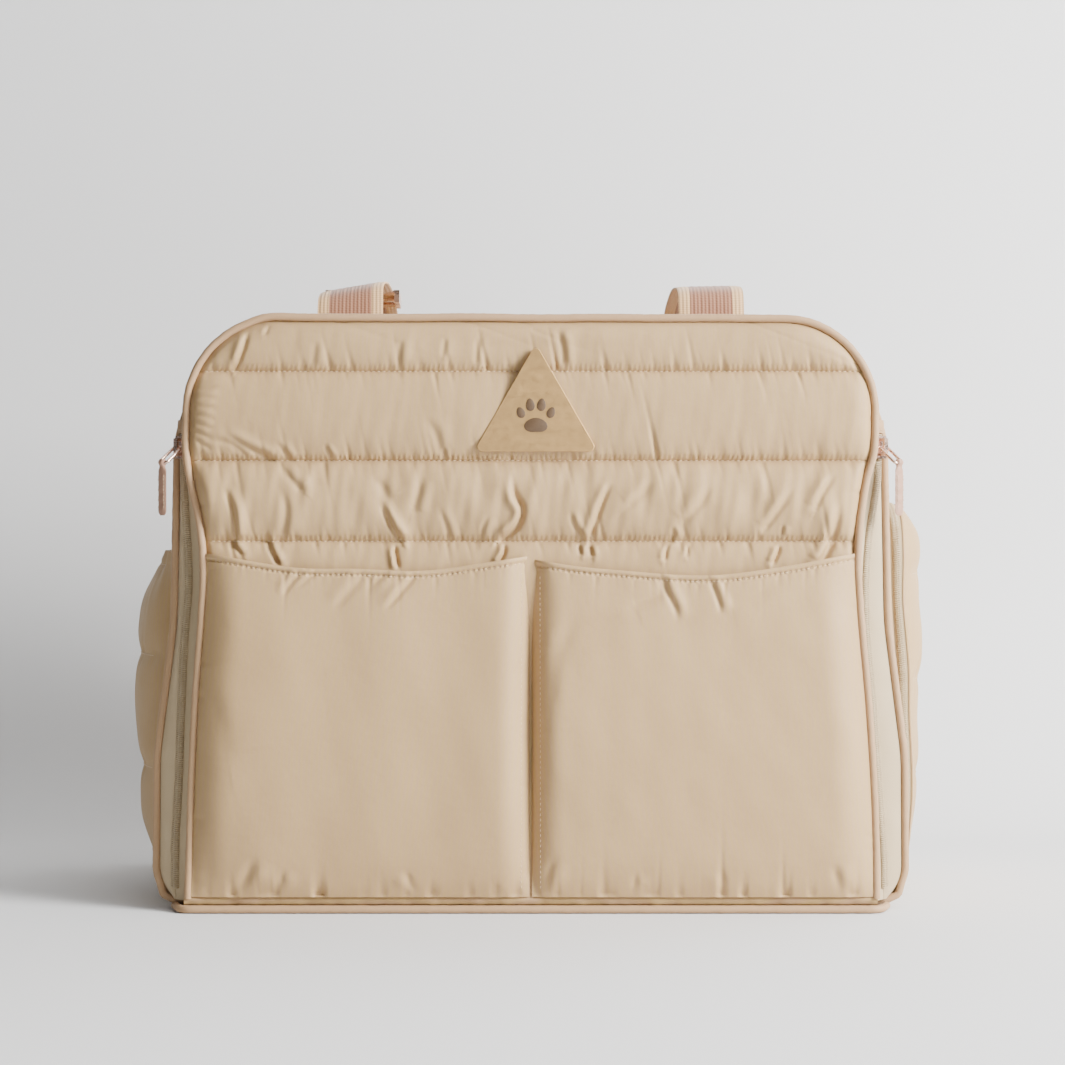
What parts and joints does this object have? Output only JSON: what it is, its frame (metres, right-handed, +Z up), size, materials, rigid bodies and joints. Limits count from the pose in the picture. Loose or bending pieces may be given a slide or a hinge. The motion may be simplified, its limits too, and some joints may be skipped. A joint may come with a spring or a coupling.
{
  "type": "pet carrier bag",
  "caption": "Quilted soft-sided carrier for a small pet, with a zipped fold-down front flap, slip and zipped pockets, mesh windows and a webbing shoulder strap.",
  "frame": {"origin": "centre of the body's underside, on the floor", "axes": "+Z up, +X to the right seen from the front, -Y towards the front flap"},
  "size_m": [0.4842, 0.277, 0.3682],
  "materials": {
    "shell_nylon": "satin quilted nylon with a fine vertical rib",
    "piping_nylon": "satin nylon over cord",
    "lining_nylon": "smooth woven lining",
    "mesh": "open hexagonal mesh",
    "mat_plush": "short plush over foam",
    "board": "stiff polyethylene sheet",
    "magnet": "nickel-plated disc",
    "zip_tape": "woven cream tape",
    "zip_coil": "moulded nylon coil",
    "hardware": "rose gold plate, polished",
    "badge": "brushed pale gold with a darker engraved mark",
    "webbing": "ribbed dusty pink webbing with cream edges",
    "pull_leather": "folded strap tab with a stitched edge"
  },
  "bodies": {
    "bag_body": {"base_panel": "shell_nylon", "left_side_panel": "shell_nylon", "right_side_panel": "shell_nylon", "top_panel": "shell_nylon", "cabin_lining": "lining_nylon", "top_mesh": "mesh", "top_mesh_binding": "piping_nylon", "back_panel": "shell_nylon", "back_mesh": "mesh", "back_mesh_binding": "piping_nylon", "back_lining": "lining_nylon", "back_piping": "piping_nylon", "base_board": "board", "base_mat": "mat_plush", "body_piping": "piping_nylon", "bottom_binding": "piping_nylon", "front_rail": "shell_nylon", "rail_magnets": "magnet", "right_body_tape": "zip_tape", "left_body_tape": "zip_tape", "right_body_coil": "zip_coil", "left_body_coil": "zip_coil", "right_zip_end_tab": "piping_nylon", "left_zip_end_tab": "piping_nylon", "left_slip_pocket": "shell_nylon", "left_pocket_elastic": "piping_nylon", "right_pocket_gusset": "shell_nylon", "pocket_inner_tape": "zip_tape", "pocket_inner_coil": "zip_coil", "left_strap_patch": "webbing", "right_strap_patch": "webbing"},
    "flap": {"flap_panel": "shell_nylon", "flap_stiffener": "board", "flap_lining": "lining_nylon", "flap_magnets": "magnet", "flap_piping": "piping_nylon", "badge_plate": "badge", "badge_backing": "magnet", "right_front_pocket": "shell_nylon", "left_front_pocket": "shell_nylon", "right_flap_tape": "zip_tape", "left_flap_tape": "zip_tape", "right_flap_coil": "zip_coil", "left_flap_coil": "zip_coil"},
    "pocket_door": {"right_zip_pocket": "shell_nylon", "pocket_outer_tape": "zip_tape", "pocket_outer_coil": "zip_coil"},
    "left_zip_slider": {"left_slider": "hardware"},
    "left_zip_link": {"left_pull_link": "hardware"},
    "left_zip_tab": {"left_pull_tab": "pull_leather"},
    "right_zip_slider": {"right_slider": "hardware"},
    "right_zip_link": {"right_pull_link": "hardware"},
    "right_zip_tab": {"right_pull_tab": "pull_leather"},
    "pocket_zip_slider": {"pocket_slider": "hardware"},
    "pocket_zip_link": {"pocket_pull_link": "hardware"},
    "pocket_zip_tab": {"pocket_pull_tab": "pull_leather"},
    "strap_top": {"right_strap_arch": "webbing", "left_strap_arch": "webbing", "strap_adjuster": "hardware"},
    "strap_drop": {"strap_loop": "webbing"}
  },
  "joints": [
    {"name": "flap_fold", "type": "hinge", "parent": "bag_body", "child": "flap", "pos_m": [0, -0.1135, 0.005], "axis": [1, 0, 0], "range_deg": [0, 80]},
    {"name": "pocket_door_open", "type": "hinge", "parent": "bag_body", "child": "pocket_door", "pos_m": [0.22623, 0, 0.02346], "axis": [0, 1, 0], "range_deg": [0, 55]},
    {"name": "right_slider_run", "type": "slide", "parent": "bag_body", "child": "right_zip_slider", "axis": [0, 0, -1], "range_m": [0, 0.214]},
    {"name": "right_link_swing", "type": "hinge", "parent": "right_zip_slider", "child": "right_zip_link", "pos_m": [0.20227, -0.10189, 0.266], "axis": [-0.745, -0.667, 0], "range_deg": [0, 58]},
    {"name": "right_tab_swing", "type": "hinge", "parent": "right_zip_link", "child": "right_zip_tab", "pos_m": [0.21015, -0.1107, 0.25677], "axis": [-0.745, -0.667, 0], "range_deg": [0, 50]},
    {"name": "left_slider_run", "type": "slide", "parent": "bag_body", "child": "left_zip_slider", "axis": [0, 0, -1], "range_m": [0, 0.214]},
    {"name": "left_link_swing", "type": "hinge", "parent": "left_zip_slider", "child": "left_zip_link", "pos_m": [-0.20227, -0.10189, 0.266], "axis": [-0.745, 0.667, 0], "range_deg": [0, 58]},
    {"name": "left_tab_swing", "type": "hinge", "parent": "left_zip_link", "child": "left_zip_tab", "pos_m": [-0.21015, -0.1107, 0.25677], "axis": [-0.745, 0.667, 0], "range_deg": [0, 50]},
    {"name": "pocket_slider_run", "type": "slide", "parent": "bag_body", "child": "pocket_zip_slider", "axis": [-0.0541, 0, 0.9985], "range_m": [0, 0.12]},
    {"name": "pocket_link_swing", "type": "hinge", "parent": "pocket_zip_slider", "child": "pocket_zip_link", "pos_m": [0.22371, 0.07715, 0.06639], "axis": [0.9985, 0, 0.0541], "range_deg": [0, 58]},
    {"name": "pocket_tab_swing", "type": "hinge", "parent": "pocket_zip_link", "child": "pocket_zip_tab", "pos_m": [0.22421, 0.08897, 0.05717], "axis": [0.9985, 0, 0.0541], "range_deg": [0, 50]},
    {"name": "strap_lift", "type": "hinge", "parent": "bag_body", "child": "strap_top", "pos_m": [0, -0.084, 0.341], "axis": [1, 0, 0], "range_deg": [0, 90]},
    {"name": "strap_unfold", "type": "hinge", "parent": "strap_top", "child": "strap_drop", "pos_m": [0, 0.109, 0.326], "axis": [1, 0, 0], "range_deg": [0, 90]}
  ],
  "couplings": [
    {"joint": "strap_unfold", "follows": "strap_lift", "ratio": 1}
  ]
}
